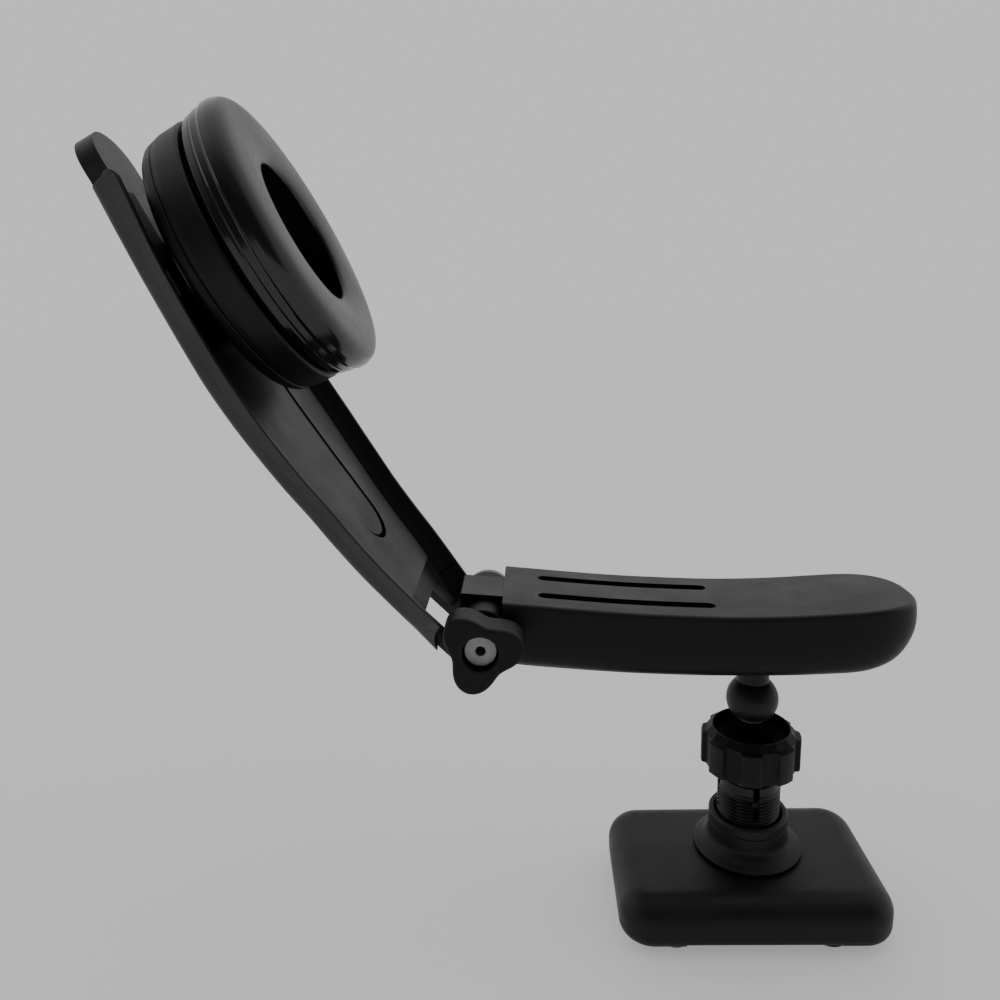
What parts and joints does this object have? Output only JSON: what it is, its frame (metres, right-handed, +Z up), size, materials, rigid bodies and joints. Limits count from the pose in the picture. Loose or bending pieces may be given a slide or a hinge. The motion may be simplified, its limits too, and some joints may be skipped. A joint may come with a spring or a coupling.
{
  "type": "articulated tool stand",
  "caption": "Weighted base with a ball joint and collet, a bowed lower arm, a knob-clamped hinge and a dished upper arm that ends in a lever-locked suction head.",
  "frame": {"origin": "on the socket's axis, at the underside of the base plate; the rubber feet reach 1.6 mm lower", "axes": "+Z up along the socket's axis, +X towards the lower arm's free end, -Y towards the side that carries the hinge knob"},
  "size_m": [0.2502, 0.0872, 0.2679],
  "materials": {
    "shell_plastic": "fine-textured black moulding",
    "satin_plastic": "smooth satin black moulding",
    "cup_gloss": "polished black elastomer",
    "black_rubber": "matt black rubber",
    "painted_steel": "fine black powder coat",
    "ballast_steel": "raw steel",
    "bright_steel": "turned steel",
    "dark_steel": "blackened steel"
  },
  "bodies": {
    "base": {"base_shell": "shell_plastic", "base_plate": "painted_steel", "base_ballast": "ballast_steel", "foot_front_left": "black_rubber", "foot_front_right": "black_rubber", "foot_rear_left": "black_rubber", "foot_rear_right": "black_rubber", "plate_screw_1": "dark_steel", "plate_screw_2": "dark_steel", "plate_screw_3": "dark_steel", "plate_screw_4": "dark_steel", "socket_flange": "painted_steel", "socket_collar": "shell_plastic", "collet": "satin_plastic", "socket_bolt": "bright_steel"},
    "nut_carrier": {"nut_liner": "black_rubber"},
    "nut": {"lock_nut": "satin_plastic"},
    "ball": {"ball": "satin_plastic"},
    "ball_core": {"ball_core": "bright_steel"},
    "stud": {"ball_stud": "satin_plastic", "stud_nut": "bright_steel"},
    "lower_arm": {"lower_arm": "shell_plastic", "lower_arm_cover": "shell_plastic", "arm_screw_1": "dark_steel", "arm_screw_2": "dark_steel", "hinge_bushing": "bright_steel", "hinge_bolt": "bright_steel", "washer_far": "bright_steel", "washer_near": "dark_steel"},
    "knob": {"hinge_knob": "satin_plastic", "knob_insert": "bright_steel"},
    "upper_arm": {"upper_arm": "shell_plastic", "arm_floor_cover": "satin_plastic", "arm_floor_trim": "shell_plastic", "head_screw_1": "dark_steel", "head_screw_2": "dark_steel", "head_screw_3": "dark_steel", "head_back_cover": "satin_plastic", "head_housing": "satin_plastic", "suction_cup": "cup_gloss", "return_spring": "bright_steel"},
    "stem": {"pull_stem": "bright_steel", "pressure_disc": "satin_plastic", "lever_pin": "bright_steel"},
    "lever": {"suction_lever": "satin_plastic"}
  },
  "joints": [
    {"name": "ball_insertion", "type": "slide", "parent": "base", "child": "ball", "axis": [0, 0, 1], "range_m": [-0.03, 0]},
    {"name": "nut_travel", "type": "slide", "parent": "base", "child": "nut_carrier", "axis": [0, 0, 1], "range_m": [-0.0175, 0]},
    {"name": "nut_spin", "type": "hinge", "parent": "nut_carrier", "child": "nut", "pos_m": [0, 0, 0.0568], "axis": [0, 0, 1], "continuous": true},
    {"name": "ball_azimuth", "type": "hinge", "parent": "ball", "child": "ball_core", "pos_m": [0, 0, 0.074], "axis": [0, 0, 1], "continuous": true},
    {"name": "ball_tilt", "type": "hinge", "parent": "ball_core", "child": "stud", "pos_m": [0, 0, 0.074], "axis": [0, 1, 0], "range_deg": [-25, 25]},
    {"name": "arm_swivel", "type": "hinge", "parent": "stud", "child": "lower_arm", "pos_m": [0, 0, 0.1], "axis": [0, 0, 1], "continuous": true},
    {"name": "arm_fold", "type": "hinge", "parent": "lower_arm", "child": "upper_arm", "pos_m": [-0.0885, 0, 0.106], "axis": [0, 1, 0], "range_deg": [-45, 60]},
    {"name": "knob_turn", "type": "hinge", "parent": "lower_arm", "child": "knob", "pos_m": [-0.0885, 0, 0.106], "axis": [0, 1, 0], "range_deg": [0, 360]},
    {"name": "stem_slide", "type": "slide", "parent": "upper_arm", "child": "stem", "axis": [0.9055, 0, 0.4243], "range_m": [0, 0.0015]},
    {"name": "lever_flip", "type": "hinge", "parent": "stem", "child": "lever", "pos_m": [-0.17548, 0, 0.21117], "axis": [0, 1, 0], "range_deg": [-60, 0]}
  ],
  "couplings": [
    {"joint": "nut_travel", "follows": "ball_insertion", "ratio": 0.58333},
    {"joint": "stem_slide", "follows": "lever_flip", "m_per_rad": -0.0014324}
  ]
}
